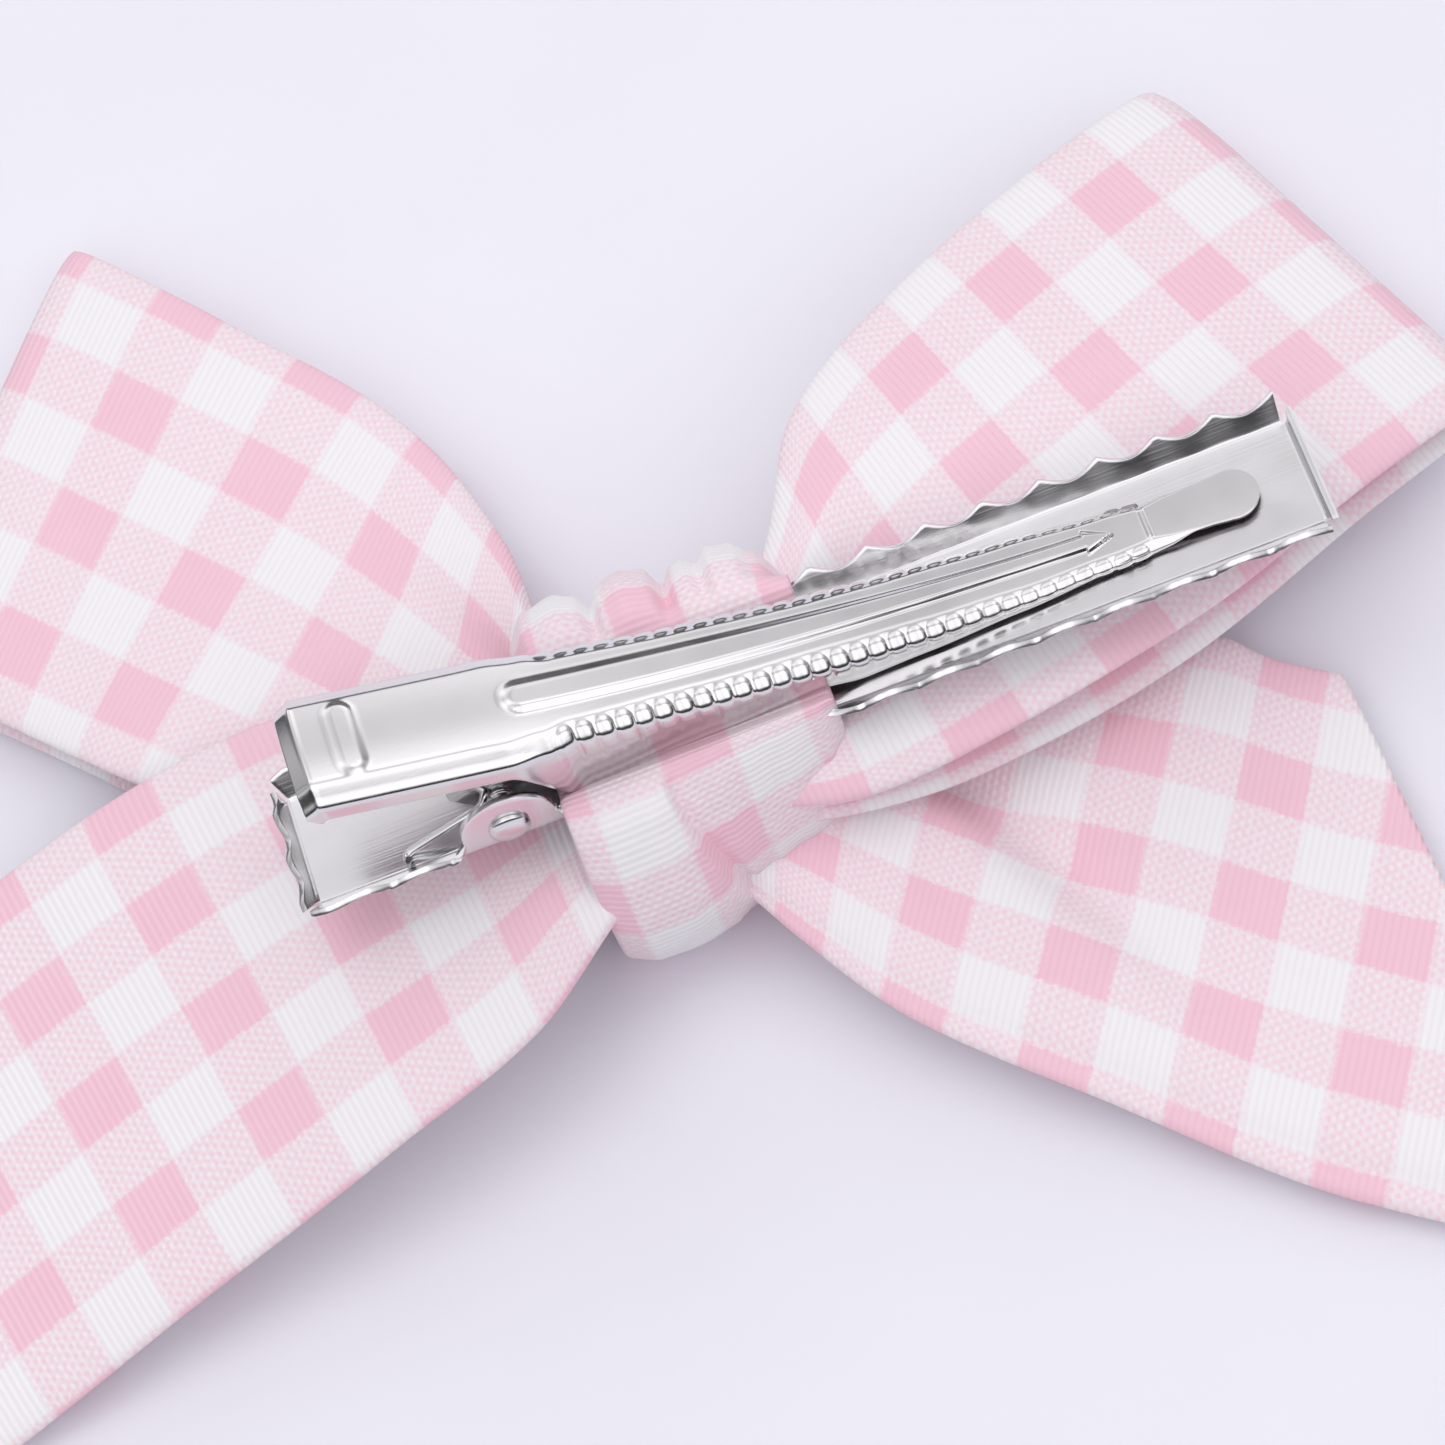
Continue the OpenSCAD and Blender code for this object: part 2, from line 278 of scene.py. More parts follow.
def twisted_thread(name):
    """White sewing thread, with the twist of its plies as slanting ridges and painted shade between them."""
    material, nodes, links = new_material(name)
    shader = nodes["Principled BSDF"]
    coord = nodes.new("ShaderNodeTexCoord")
    twist = nodes.new("ShaderNodeTexWave")
    twist.inputs["Scale"].default_value = 900.0
    twist.inputs["Distortion"].default_value = 1.5
    links.new(coord.outputs["Object"], twist.inputs["Vector"])
    # Darker where the twist wave is low, between the plies: painted shade.
    color = add_ramp(nodes, links, twist.outputs["Fac"],
                     [(0.1, (0.72, 0.70, 0.73)), (0.7, (0.92, 0.91, 0.93))])
    bump = nodes.new("ShaderNodeBump")
    bump.inputs["Strength"].default_value = 0.6
    bump.inputs["Distance"].default_value = 0.00008
    wire_up(links, [
        (color, shader.inputs["Base Color"]),
        (twist.outputs["Fac"], bump.inputs["Height"]),
        (bump.outputs["Normal"], shader.inputs["Normal"]),
    ])
    shader.inputs["Roughness"].default_value = 0.8
    return material


# ---------------------------------------------------------------- mesh tools


def new_piece(name, bm, material, body=None, smooth=True):
    mesh = bpy.data.meshes.new(name)
    bm.to_mesh(mesh)
    bm.free()
    for face in mesh.polygons:
        face.use_smooth = smooth
    piece = bpy.data.objects.new(name, mesh)
    bpy.context.scene.collection.objects.link(piece)
    mesh.materials.append(material)
    if body:
        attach(piece, body)
    return piece


def give_thickness(piece, thick, rim=0.05):
    """Thickens a bent sheet behind its faces and softens its cut edges."""
    wall = piece.modifiers.new("thickness", "SOLIDIFY")
    wall.thickness = thick * MM
    wall.offset = -1.0
    wall.use_even_offset = True
    edges = piece.modifiers.new("cut_edges", "BEVEL")
    edges.width = rim * MM
    edges.segments = 2
    edges.limit_method = "ANGLE"
    edges.angle_limit = radians(50)
    return wall


def sheet_grid(rows, columns, place):
    """A grid of rows by columns whose points go where place(row, column) says. A point may be None."""
    bm = bmesh.new()
    n, m = len(rows) - 1, len(columns) - 1
    bmesh.ops.create_grid(bm, x_segments=n, y_segments=m, size=0.5)
    unwanted = []
    for vert in bm.verts:
        i = round((vert.co.x + 0.5) * n)
        j = round((vert.co.y + 0.5) * m)
        point = place(rows[i], columns[j])
        if point is None:
            unwanted.append(vert)
        else:
            vert.co = point
    if unwanted:
        bmesh.ops.delete(bm, geom=unwanted, context="VERTS")
    return bm


def steps(low, high, count):
    return [low + (high - low) * i / count for i in range(count + 1)]


# ---------------------------------------------------------------- lower jaw


def tooth_dip(x):
    """How far the teeth line dips under its peaks."""
    return TOOTH_DEEP * abs(sin(pi * (x - TOOTH_FROM) / TOOTH_PITCH)) ** 0.9


def ear_share(x):
    """1 within the ears, 0 away from them."""
    return 1 - between(abs(x - PIN.x), EAR_R, EAR_R + EAR_FOOT)


def wall_height(x):
    away = abs(x - PIN.x)
    plain = WALL_HIGH + 0.3 - tooth_dip(x)
    if away < EAR_R:
        return max(plain, PIN.z + sqrt(max(0.0, EAR_R ** 2 - away ** 2)))
    return plain + (PIN.z - plain) * (1 - between(away, EAR_R, EAR_R + 0.25))


def jaw_rows():
    ear_start, ear_end = PIN.x - EAR_R, PIN.x + EAR_R
    tail = [("tail", t) for t in steps(1, 0, 8)]
    before = [("floor", x) for x in steps(FOLD_R, PIN.x - EAR_R - EAR_FOOT, 34)]
    rise = [("floor", x) for x in steps(ear_start - 0.8, ear_start - 0.05, 5)]
    ear = [("floor", PIN.x + EAR_R * sin(radians(a))) for a in steps(-90, 90, 36)]
    fall = [("floor", x) for x in steps(ear_end + 0.05, ear_end + 0.8, 5)]
    after = [("floor", x) for x in steps(ear_end + EAR_FOOT, JAW_LONG - 0.5, 190)]
    tip = [("tip", t) for t in steps(0, 1, 7)]
    return tail + before + rise + ear + fall + after + tip


def jaw_columns():
    left = [("wall", t, -1) for t in steps(1, 0, 12)]
    bottom = [("floor", abs(t), -1 if t < 0 else 1) for t in steps(-1, 1, 14)[1:-1]]
    right = [("wall", t, 1) for t in steps(0, 1, 12)]
    return left + bottom + right


def bent_edge(t, base, bend, lean, high):
    """Along an edge folded up from a floor: 0 at the floor, 1 at the top. Gives (outwards, up)."""
    turn = pi / 2 - lean
    if t < 0.35:
        a = turn * t / 0.35
        return base + bend * sin(a), bend * (1 - cos(a))
    reach = (t - 0.35) / 0.65
    start = (base + bend * sin(turn), bend * (1 - cos(turn)))
    rest = max(0.02, (high - start[1]) / cos(lean)) if cos(lean) > 0 else high
    return start[0] + reach * rest * sin(lean), start[1] + reach * rest * cos(lean)


def jaw_lean(x):
    """The walls flare out, stand up at the ears and are pressed in under the band."""
    banded = between(x, 17.5, 19.5) * (1 - between(x, 37.0, 39.0))
    return WALL_LEAN * (1 - ear_share(x)) * (1 - 0.5 * banded)


def jaw_side_point(along, across, side):
    """A point on a side wall, with a light ripple that follows the teeth."""
    half = FLOOR_HALF - FOLD_R
    y, z = bent_edge(across, half, FOLD_R, jaw_lean(along), wall_height(along))
    y += 0.07 * cos(2 * pi * (along - TOOTH_FROM) / TOOTH_PITCH) * across ** 2 * (1 - ear_share(along))
    splay = z * (0.08 * between(along, 72.5, 74.5) - 0.53 * (1 - between(along, 0.35, 2.2)))
    return on_clip((along + splay, y * side, z + FLOOR_DISH * half ** 2))


def jaw_lip_point(kind, t, y):
    """A point on the lip at the tail or the tip, t of the way up it."""
    z0 = FLOOR_DISH * y * y
    if kind == "tail":
        high = TAIL_LIP_HIGH + 0.2 * cos(2 * pi * (y + 0.6) / RIPPLE_LONG)
        x, z = bent_edge(t, 0, FOLD_R, TAIL_LIP_LEAN, high)
        x += 0.08 * cos(2 * pi * (y + 0.9) / RIPPLE_LONG) * t ** 2
        return on_clip((FOLD_R - x, y * (1 + LIP_SPREAD * z), z + z0))
    x, z = bent_edge(t, 0, FOLD_R, TIP_LIP_LEAN, TIP_LIP_HIGH)
    return on_clip((JAW_LONG - FOLD_R + x, y * (1 + LIP_SPREAD * z), z + z0))


def jaw_point(row, column):
    kind, along = row
    part, across, side = column
    half = FLOOR_HALF - FOLD_R
    if kind != "floor":
        if part == "wall" and across > 0.02:
            return None
        return jaw_lip_point(kind, along, (across if part == "floor" else 1) * side * half)
    if part == "wall":
        return jaw_side_point(along, across, side)
    return on_clip((along, across * side * half, FLOOR_DISH * (across * half) ** 2))


def make_lower_jaw(material):
    bm = sheet_grid(jaw_rows(), jaw_columns(), jaw_point)
    piece = new_piece("jaw_tray", bm, material, "base")
    give_thickness(piece, SHEET)
    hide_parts("lower_jaw")
    return piece


# ---------------------------------------------------------------- lever

LEVER_TAIL = 3.9
FOLD_STEPS = 12
ARM_START = 20.0
ARM_R = 190.8
ARM_FLAT = 74.84
ARM_LOW = 0.77
RIB_PITCH = 1.38
RIB_FIRST = 20.6
RIB_COUNT = 31
TONGUE_X = 69.3
TONGUE_R = 2.0


def lever_top(x):
    if x < ARM_START:
        return lever_top(ARM_START) + (ARM_START - x) * 0.3
    return ARM_LOW + ARM_R - sqrt(ARM_R ** 2 - (x - ARM_FLAT) ** 2)


def lever_slope(x):
    return (lever_top(x + 0.05) - lever_top(x - 0.05)) / 0.1


def lever_half(x):
    """Half the lever's width, seen from above."""
    points = [(0, 4.55), (16.5, 4.55), (19.2, 4.2), (21.2, 3.75), (30, 3.45), (40, 3.15), (46, 3.0),
              (53, 2.7), (60, 2.25), (64, 2.0), (66.2, 1.78), (67.2, 1.8)]
    if x > 67.2:
        dx = x - TONGUE_X
        if dx > -0.6:
            return sqrt(max(0.0001, TONGUE_R ** 2 - dx * dx))
        return 1.8 + 0.13 * between(x, 67.2, 68.7)
    for (x0, w0), (x1, w1) in zip(points, points[1:]):
        if x <= x1:
            return w0 + (w1 - w0) * ease((x - x0) / (x1 - x0))
    return points[-1][1]


def lever_bend(x):
    """How wide the fold between the top and the skirts is, seen from above."""
    tail = 1.6 - 0.2 * between(x, 14, 21)
    return max(0.05, tail * (1 - 0.42 * between(x, 38, 62)) * (1 - between(x, 62.5, 67.0)) + 0.05)


def lever_skirt(x):
    """Height of the skirts' lower edge over the floor."""
    under_tail = lever_top(x) - 2.6
    grip = 1.35 - 0.8 * between(x, 37.5, 41.5)
    low = under_tail + (grip - under_tail) * between(x, 16.0, 20.5)
    return low + (lever_top(x) - 0.08 - low) * between(x, 63.0, 66.6)


def bead_height(x, y):
    """The long stiffening bead: a broad slope on the far side and a shorter one on the near side."""
    size = 1 - 0.5 * between(x, 24, 58)
    half, slope = (1.75, 1.2) if y > 0 else (1.35, 0.6)
    reach = sqrt((x - 18.6) ** 2 + y * y) if x < 18.6 else abs(y)
    if x < 18.6:
        side = 0.5 + 0.5 * y / max(reach, 0.01)
        half, slope = 1.35 + 0.4 * side, 0.6 + 0.6 * side
    if x > 58.6:
        size = 0.75 * max(0.0, 60.8 - x) / 2.2
    return 0.36 * ease(max(0.0, min(1.0, (half * size - reach) / (slope * size)))) if size > 0.03 else 0.0


def tail_oval(x, y):
    reach = sqrt((x - 6.8) ** 2 + max(0.0, abs(y + 0.1) - 1.9) ** 2)
    return 0.2 * (1 - between(reach, 0.55, 1.2))


def cross_line(x, y):
    return 0.14 * exp(-((x - 63.0) / 0.16) ** 2) * (1 - between(abs(y), 1.0, 1.5))


def rib_rise(x, q, sign):
    """Crimped ribs on the folds: q runs from the flat top (0) down to the skirt (1)."""
    place = (x - RIB_FIRST) / RIB_PITCH - (0 if sign < 0 else 0.35 * q)
    away = abs(place - min(RIB_COUNT - 1, max(0, round(place))))
    if q <= 0 or q >= 1.2:
        return 0.0
    wide = 0.5 * min(1.0, 0.5 + 1.6 * q)
    body = 1 - (away / wide) ** 3 if away < wide else 0.0
    size = (1 - 0.4 * between(x, 40, 62)) * (0.22 if sign < 0 else 0.16)
    return size * body * between(q, -0.02, 0.28) * (1 - between(q, 0.9, 1.15))


def lever_rows():
    lip = [("lip", t) for t in steps(1, 0, 16)[:-1]]
    tail = [("top", x) for x in steps(LEVER_TAIL, 15.8, 66)]
    shoulder = [("top", x) for x in steps(15.95, 19.7, 22)]
    arm = [("top", x) for x in steps(19.85, 63.6, 440)]
    neck = [("top", x) for x in steps(63.75, TONGUE_X, 26)]
    tongue = [("top", TONGUE_X + TONGUE_R * sin(radians(a))) for a in steps(4, 89.5, 16)]
    return lip + tail + shoulder + arm + neck + tongue


def lever_columns():
    half = [("top", t) for t in steps(0, 1, 15)] + [("fold", t) for t in steps(0, 1, FOLD_STEPS)[1:]] \
        + [("skirt", t) for t in steps(0, 1, 5)[1:]]
    return [(kind, t, -1) for kind, t in reversed(half[1:])] + [(kind, t, 1) for kind, t in half]


def fold_profile():
    """The fold from the top to a skirt, as (out, down, tilt): a slope with a bend at each end."""
    rows, y, z, fine = [(0.0, 0.0, 0.0)], 0.0, 0.0, 40
    for i in range(FOLD_STEPS * fine):
        t = (i + 0.5) / (FOLD_STEPS * fine)
        tilt = radians(38) * between(t, -0.05, 0.28) + radians(52) * between(t, 0.74, 1.04)
        y, z = y + cos(tilt), z + sin(tilt)
        if (i + 1) % fine == 0:
            rows.append((y, z, tilt))
    return [(a / y, b / y, tilt) for a, b, tilt in rows]


FOLD = fold_profile()


def lever_section(x, kind, t):
    """(y, z) of the lever's outer face at x, before beads and ribs, and the face's own (y, z) normal."""
    w, r, top = lever_half(x), lever_bend(x), lever_top(x)
    flat = max(0.0, w - r)
    if kind == "top":
        return (t * flat, top), (0, 1)
    out, down, tilt = FOLD[round(t * FOLD_STEPS)] if kind == "fold" else FOLD[-1]
    if kind == "fold":
        return (flat + r * out, top - r * down), (sin(tilt), cos(tilt))
    low = min(lever_skirt(x), top - r * down - 0.02)
    return (w, top - r * down + t * (low - top + r * down)), (1, 0)


def lever_point(row, column):
    kind, x = row
    side, t, sign = column
    if kind == "lip":
        return lip_point(x, side, t, sign)
    (y, z), (ny, nz) = lever_section(x, side, t)
    z -= (0.024 - 0.012 * between(x, 18, 26)) * min(y, 4.0) ** 2
    if side == "top":
        lift = bead_height(x, y * sign) + tail_oval(x, y * sign) + cross_line(x, y)
    elif side == "fold":
        lift = rib_rise(x, 0.9 * (t - 0.2) / 0.8, sign)
    else:
        lift = rib_rise(x, 0.9 + 0.4 * t, sign)
    slope = lever_slope(x)
    tilt = sqrt(1 + slope * slope)
    return on_clip((x - lift * nz * slope / tilt, (y + lift * ny) * sign, z + lift * nz / tilt))


def lip_point(t, side, across, sign):
    """The tail end rises to a low rim and then slants down."""
    (y, z), normal = lever_section(LEVER_TAIL, side, across)
    rise, fall, r = radians(16.7), radians(-33), 0.5
    heading = rise + (fall - rise) * min(1.0, t / 0.4)
    back = r * (sin(rise) - sin(heading))
    up = r * (cos(heading) - cos(rise))
    rest = max(0.0, t - 0.4) / 0.6 * 1.2
    back += rest * cos(fall)
    up += rest * sin(fall)
    if side != "top":
        share = across if side == "skirt" else 0.0
        back *= 1 - 0.6 * share
        up *= 1 - 0.3 * share
    rim = 0.06 * exp(-((t - 0.2) / 0.16) ** 2) if side != "skirt" else 0
    z -= 0.024 * min(y, 4.0) ** 2
    return on_clip((LEVER_TAIL - back, y * (1 - 0.03 * t) * sign, z + up + rim))


def make_lever(material, inside):
    bm = sheet_grid(lever_rows(), lever_columns(), lever_point)
    piece = new_piece("lever_shell", bm, material, "lever")
    # The inside faces take the second material, nickel darkened as painted shade.
    piece.data.materials.append(inside)
    give_thickness(piece, SHEET).material_offset = 1
    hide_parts("upper_lever")
    return piece


def tab_outline():
    """The hinge tab's outline in x and z, tail side first, closed by its top inside the lever."""
    turns = [radians(a) for a in steps(-62, 62, 12)]
    round_foot = [(PIN.x + TAB_R * sin(a), PIN.z - TAB_R * cos(a)) for a in turns]
    front = [(17.2, 2.3), (18.6, 2.75), (20.0, 3.0)]
    return [(11.3, 10.9), (11.3, 3.4), (11.7, 2.9)] + round_foot + front + [(20.4, 8.3), (16.0, 9.5)]


def make_hinge_tabs(material):
    """Plates inside the lever that hold the pin, one each side, as one mesh."""
    bm = bmesh.new()
    for side in (-1, 1):
        outer, inner = TAB_OUT * side, (TAB_OUT - SHEET) * side
        ring = [bm.verts.new(on_clip((x, outer, z))) for x, z in tab_outline()]
        face = bm.faces.new(ring)
        pushed = bmesh.ops.extrude_face_region(bm, geom=[face])
        moved = [g for g in pushed["geom"] if isinstance(g, bmesh.types.BMVert)]
        bmesh.ops.translate(bm, verts=moved, vec=(0, (inner - outer) * MM, 0))
    bmesh.ops.recalc_face_normals(bm, faces=bm.faces)
    rims = [e for e in bm.edges if e.calc_face_angle(0) > radians(60)]
    bmesh.ops.bevel(bm, geom=rims, offset=0.05 * MM, offset_type="OFFSET", segments=2, profile=0.5,
                    affect="EDGES", material=-1)
    piece = new_piece("hinge_tabs", bm, material, "lever", smooth=False)
    return piece


# ---------------------------------------------------------------- pin and spring


def rivet_profile():
    """Half section of the rivet from its middle out: (radius, distance along the pin)."""
    out = FLOOR_HALF + SHEET
    dome = [(1.5 * cos(radians(a)), out + 0.16 + 0.5 * sin(radians(a))) for a in steps(0, 84, 12)]
    collar = [(0.75, 0.0), (0.75, 2.34), (0.98, 2.4), (1.0, 2.6), (0.98, 2.8),
              (0.75, 2.86), (0.75, out - SHEET)]
    return collar + [(0.75, out), (1.45, out), (1.5, out + 0.05)] + dome + [(0.0, out + 0.665)]


def make_pin(material):
    bm = bmesh.new()
    verts = [bm.verts.new((r * MM, 0, along * MM)) for r, along in rivet_profile()]
    edges = [bm.edges.new(pair) for pair in zip(verts, verts[1:])]
    bmesh.ops.spin(bm, geom=verts + edges, cent=(0, 0, 0), axis=(0, 0, 1), angle=2 * pi,
                   steps=48, use_merge=True)
    bmesh.ops.remove_doubles(bm, verts=bm.verts, dist=1e-7)
    copy = bmesh.ops.duplicate(bm, geom=bm.verts[:] + bm.edges[:] + bm.faces[:])["geom"]
    other = [g for g in copy if isinstance(g, bmesh.types.BMVert)]
    bmesh.ops.rotate(bm, verts=other, cent=(0, 0, 0), matrix=Matrix.Rotation(pi, 3, "X"))
    bmesh.ops.remove_doubles(bm, verts=bm.verts, dist=1e-7)
    bmesh.ops.rotate(bm, verts=bm.verts, cent=(0, 0, 0), matrix=Matrix.Rotation(-pi / 2, 3, "X"))
    bmesh.ops.translate(bm, verts=bm.verts, vec=on_clip(PIN))
    bmesh.ops.recalc_face_normals(bm, faces=bm.faces)
    piece = new_piece("rivet", bm, material, "base")
    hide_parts("hinge_pin")
    return piece


def spring_path():
    """The wire's line: low leg with a small bent end, the coil, and the high leg under the lever."""
    low = [(-7.5, -3.85, -1.42), (-7.62, -3.6, -1.55), (-7.5, -3.35, -1.55), (-7.1, -3.2, -1.42),
           (-1.7, -3.2, 0.65), (-1.2, -3.0, 0.85), (-0.8, -2.3, 1.0), (-0.55, -1.7, 1.06)]
    coil = []
    count = TURN_STEPS * COIL_TURNS
    for i in range(count + 1):
        a = pi / 2 + 0.35 + (2 * pi * COIL_TURNS - 0.5) * i / count
        coil.append((COIL_R * cos(a), -COIL_HALF + 2 * COIL_HALF * i / count, COIL_R * sin(a)))
    side_on = [(-0.9, 1.25), (-2.2, 3.0), (-4.2, 5.6), (-6.2, 8.2), (-7.0, 9.25)]
    high = [(x, COIL_HALF, z) for x, z in side_on]
    return [on_clip(PIN + Vector(p)) for p in low + coil + high]


def tube_mesh(points, radius):
    """A round tube along a line of points, closed at both ends."""
    curve = bpy.data.curves.new("line", "CURVE")
    curve.dimensions = "3D"
    curve.bevel_depth = radius * MM
    curve.bevel_resolution = 3
    curve.use_fill_caps = True
    line = curve.splines.new("POLY")
    line.points.add(len(points) - 1)
    for target, p in zip(line.points, points):
        target.co = (*p, 1.0)
    holder = bpy.data.objects.new("line", curve)
    bm = bmesh.new()
    bm.from_mesh(holder.to_mesh())
    holder.to_mesh_clear()
    bpy.data.objects.remove(holder)
    bpy.data.curves.remove(curve)
    return bm


def make_spring(material):
    piece = new_piece("spring_wire", tube_mesh(spring_path(), WIRE_R), material)
    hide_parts("torsion_spring")
    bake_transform(piece)
    return piece


# ---------------------------------------------------------------- cloth


def smooth_run(stations, count):
    """Passes a smooth curve through stations, each a list of numbers, by their spacing in x, y, z."""
    knots = [0.0]
    for a, b in zip(stations, stations[1:]):
        knots.append(knots[-1] + max(0.01, (Vector(b[:3]) - Vector(a[:3])).length))
    run = []
    for i in range(count + 1):
        s = knots[-1] * i / count
        k = max(j for j in range(len(knots) - 1) if knots[j] <= s + 1e-9)
        t = (s - knots[k]) / (knots[k + 1] - knots[k])
        run.append(hermite(stations, knots, k, t))
    return run


def hermite(values, knots, k, t):
    def tangent(j, n):
        lo, hi = max(0, j - 1), min(len(values) - 1, j + 1)
        return (values[hi][n] - values[lo][n]) / (knots[hi] - knots[lo])
    gap = knots[k + 1] - knots[k]
    h1, h2 = 2 * t ** 3 - 3 * t ** 2 + 1, t ** 3 - 2 * t ** 2 + t
    h3, h4 = -2 * t ** 3 + 3 * t ** 2, t ** 3 - t ** 2
    here, after = values[k], values[k + 1]
    return [h1 * here[n] + h2 * gap * tangent(k, n) + h3 * after[n] + h4 * gap * tangent(k + 1, n)
            for n in range(len(here))]


class Strip:
    """A flattened tube of knit: stations hold x, y, z, turn, half width and half thickness."""

    def __init__(self, stations, count, folds=None, cut_slant=0.0, hem=0.0):
        self.run = smooth_run(stations, count)
        self.folds = folds or (lambda s, t: 0.0)
        self.cut_slant = cut_slant
        self.hem = hem
        self.marks = [0.0]
        for a, b in zip(self.run, self.run[1:]):
            self.marks.append(self.marks[-1] + (Vector(b[:3]) - Vector(a[:3])).length)

    def long(self):
        return self.marks[-1]

    def frame_at(self, i):
        a, b = self.run[max(0, i - 1)], self.run[min(len(self.run) - 1, i + 1)]
        along = (Vector(b[:3]) - Vector(a[:3])).normalized()
        turn = radians(self.run[i][3])
        across = Vector((-sin(turn), cos(turn), 0))
        up = along.cross(across).normalized()
        heads_right = self.run[1][0] > self.run[0][0]
        return along, across, up if heads_right else -up

    def point(self, i, t, face):
        """t runs from -1 to 1 across, face is 1 on the top layer and -1 on the under one."""
        x, y, z, turn, half, thick = self.run[i]
        along, across, up = self.frame_at(i)
        body = thick * (1 - abs(t) ** 7) ** 0.5 * face
        if face > 0:
            body -= self.hem * exp(-((t + 0.90) / 0.03) ** 2) * (1 - 0.5 * abs(t) ** 9)
        slant = self.cut_slant * t * between(i / (len(self.run) - 1), 0.45, 1.0)
        lift = self.folds(self.marks[i], t) + 0.22 * noise.noise(Vector((x * 0.09, y * 0.09, t * 0.6)))
        centre = Vector((x, y, z)) + across * (t * half) + along * slant
        return centre + up * (body + lift)


def make_strip(name, strip, material, node, across_steps=30):
    """Lofts the strip as one closed tube with its own cloth UV map in metres."""
    ring = []
    for tau in steps(-1, 1, across_steps):
        ring.append((sin(pi / 2 * tau), 1, STRIP_HALF * sin(pi / 2 * tau)))
    for tau in steps(1, -1, across_steps)[1:]:
        t = sin(pi / 2 * tau)
        ring.append((t, -1, 2 * STRIP_HALF - STRIP_HALF * t))
    rows = list(range(len(strip.run)))
    bm = bmesh.new()
    uv = bm.loops.layers.uv.new("cloth")
    n, m = len(rows) - 1, len(ring) - 1
    bmesh.ops.create_grid(bm, x_segments=n, y_segments=m, size=0.5)
    for face in bm.faces:
        for loop in face.loops:
            i = round((loop.vert.co.x + 0.5) * n)
            j = round((loop.vert.co.y + 0.5) * m)
            t = ring[j][0]
            slant = strip.cut_slant * t * between(i / n, 0.45, 1.0)
            loop[uv].uv = (ring[j][2] * MM, (strip.marks[i] + slant) * MM)
    for vert in bm.verts:
        i = round((vert.co.x + 0.5) * n)
        j = round((vert.co.y + 0.5) * m)
        vert.co = on_surface(strip.point(i, ring[j][0], ring[j][1]))
    bmesh.ops.remove_doubles(bm, verts=bm.verts, dist=2e-6)
    holes = [e for e in bm.edges if e.is_boundary]
    bmesh.ops.holes_fill(bm, edges=holes, sides=0)
    bmesh.ops.recalc_face_normals(bm, faces=bm.faces)
    piece = new_piece(name, bm, material, "base")
    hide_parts(node)
    return piece


def gather(depth, fades, waves):
    """Pleats pulled in at the knot. Each wave is (place across, width, size)."""
    def fold(s, t):
        pull = exp(-max(0.0, s - 13) / fades)
        return depth * pull * sum(size * exp(-((t - at) / wide) ** 2) for at, wide, size in waves)
    return fold


def right_loop_strip():
    stations = [
        [30, 0.0, 11.4, 0, 7.0, 1.3], [37, 0.4, 11.8, 3, 10.0, 1.2], [46, 6.4, 12.0, 12, 15.6, 1.1],
        [60, 12.6, 11.0, 18, 18.3, 1.1], [73, 18.8, 9.0, 20, 18.8, 1.1], [81.6, 22.6, 7.0, 21, 18.9, 1.0],
        [83.4, 23.4, 5.4, 21, 18.9, 1.0], [82.0, 22.8, 3.9, 21, 18.8, 1.0],
        [72, 18.4, 4.9, 20, 18.4, 1.0], [58, 10.6, 6.6, 17, 17.0, 1.0], [44, 3.0, 8.2, 10, 12.5, 1.0],
        [36, 0.0, 9.0, 3, 9.0, 1.0], [30, 0.0, 9.2, 0, 7.0, 1.0]]
    pleats = gather(0.9, 12, [(-0.55, 0.22, 0.8), (0.1, 0.2, -0.8), (0.5, 0.25, 0.9)])
    return Strip(stations, 150, pleats)


def left_tail_strip():
    stations = [
        [27, 0, 11.0, 0, 7.0, 1.2], [20, -0.3, 11.2, 2, 10.2, 1.2], [10, -1.8, 10.6, 6, 15.4, 1.2],
        [-3, -3.2, 9.4, 9, 18.0, 1.1], [-20, -6.2, 5.6, 12, 18.9, 1.1], [-34, -9.3, 2.4, 13, 19, 1.1],
        [-40.6, -10.8, 1.4, 13, 19, 1.1]]
    pleats = gather(0.9, 12, [(-0.6, 0.2, 0.8), (0.0, 0.25, -0.7), (0.55, 0.25, 0.8)])
    return Strip(stations, 110, pleats, -8.0)


def left_loop_strip():
    stations = [
        [27, 0.2, 6.0, 0, 7.0, 1.2], [20, 1.5, 6.0, -8, 10.0, 1.2], [13, 11.6, 6.2, -30, 14.0, 1.1],
        [3, 26, 5.9, -45, 17.2, 1.1], [-7, 38.7, 5.2, -40, 18.4, 1.1], [-14.6, 48.2, 4.4, -37, 19.0, 1.0],
        [-16.0, 50.0, 3.2, -37, 19.0, 1.0], [-14.2, 47.8, 2.0, -37, 19.0, 1.0],
        [-5, 37, 1.5, -38, 18.4, 1.0], [4, 26, 1.7, -43, 17.5, 1.0], [13, 12, 2.6, -30, 13.8, 1.0],
        [20, 1.5, 3.4, -8, 9.5, 1.0], [27, 0.2, 3.4, 0, 7.0, 1.0]]
    pleats = gather(1.0, 8, [(-0.2, 0.3, 0.6), (0.34, 0.10, -2.2), (0.75, 0.3, 1.2)])
    return Strip(stations, 150, pleats)


def tail_crease(s, t):
    """A slanting valley near the knot, with the lower part of the tail rolled up beside it."""
    line = 0.62 - 0.028 * s
    near = 1 - between(s, 22, 42)
    lower = 1 - between(t, line - 0.30, line)
    valley = exp(-((t - line - 0.02) / 0.13) ** 2)
    return near * (1.5 * lower - 1.6 * valley - 0.4)


